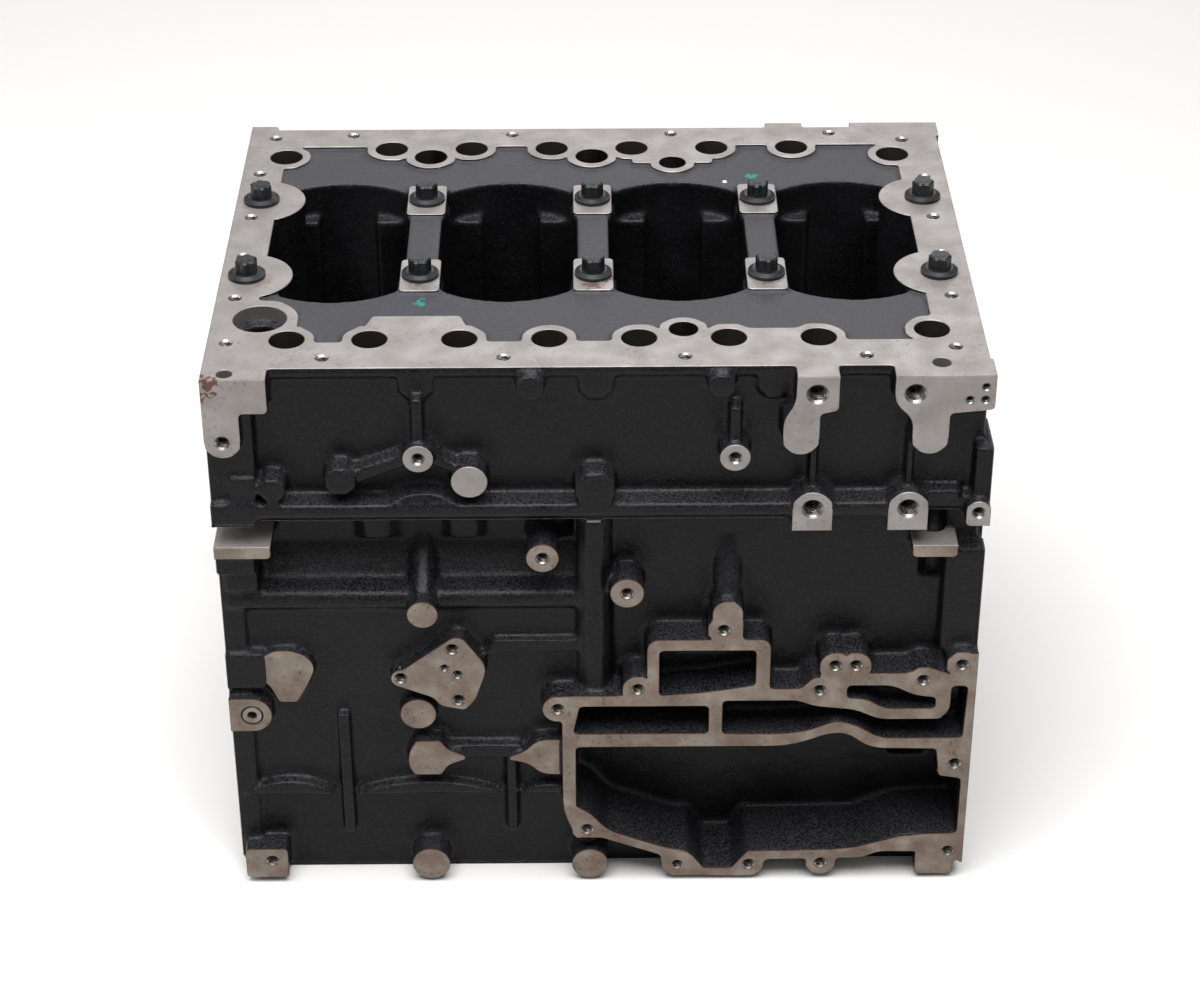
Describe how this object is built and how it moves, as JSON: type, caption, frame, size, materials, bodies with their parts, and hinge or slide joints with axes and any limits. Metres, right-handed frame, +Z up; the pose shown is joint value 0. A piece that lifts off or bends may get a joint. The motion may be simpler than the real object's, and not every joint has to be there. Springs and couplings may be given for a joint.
{
  "type": "engine block",
  "caption": "Bare inline diesel engine block standing on its head face, with bolted bedplate, open crank bays, cylinder bores and an oil cooler chamber in its side.",
  "frame": {"origin": "middle of the overall box, at floor level, on the head face", "axes": "+X along the crankshaft to the timing end, +Z up from the head face to the sump rail"},
  "size_m": [0.546, 0.402, 0.455],
  "materials": {
    "block_casting": "black paint over sand-cast iron, with bare machined faces",
    "bedplate_casting": "black paint over sand-cast iron, with bare machined rim and pads",
    "bolts": "black phosphated steel, oiled",
    "dowels": "ground steel",
    "plugs": "zinc-plated steel, dulled"
  },
  "bodies": {
    "root": {"cylinder_block": "block_casting", "bedplate": "bedplate_casting", "main_bolt_1_front": "bolts", "main_bolt_1_back": "bolts", "main_bolt_2_front": "bolts", "main_bolt_2_back": "bolts", "main_bolt_3_front": "bolts", "main_bolt_3_back": "bolts", "main_bolt_4_front": "bolts", "main_bolt_4_back": "bolts", "main_bolt_5_front": "bolts", "main_bolt_5_back": "bolts", "rail_bolt_front_1": "bolts", "rail_bolt_front_2": "bolts", "rail_bolt_front_3": "bolts", "rail_bolt_front_4": "bolts", "rail_bolt_front_5": "bolts", "rail_bolt_front_6": "bolts", "rail_bolt_front_7": "bolts", "rail_bolt_front_8": "bolts", "rail_bolt_back_1": "bolts", "rail_bolt_back_2": "bolts", "rail_bolt_back_3": "bolts", "rail_bolt_back_4": "bolts", "rail_bolt_back_5": "bolts", "rail_bolt_back_6": "bolts", "rail_bolt_back_7": "bolts", "rail_bolt_back_8": "bolts", "ring_dowel_1": "dowels", "ring_dowel_2": "dowels", "core_plug_1": "plugs", "core_plug_2": "plugs", "core_plug_3": "plugs", "core_plug_4": "plugs", "gallery_plug_flywheel": "plugs", "gallery_plug_timing": "plugs", "gallery_plug_front": "plugs"}
  },
  "joints": []
}
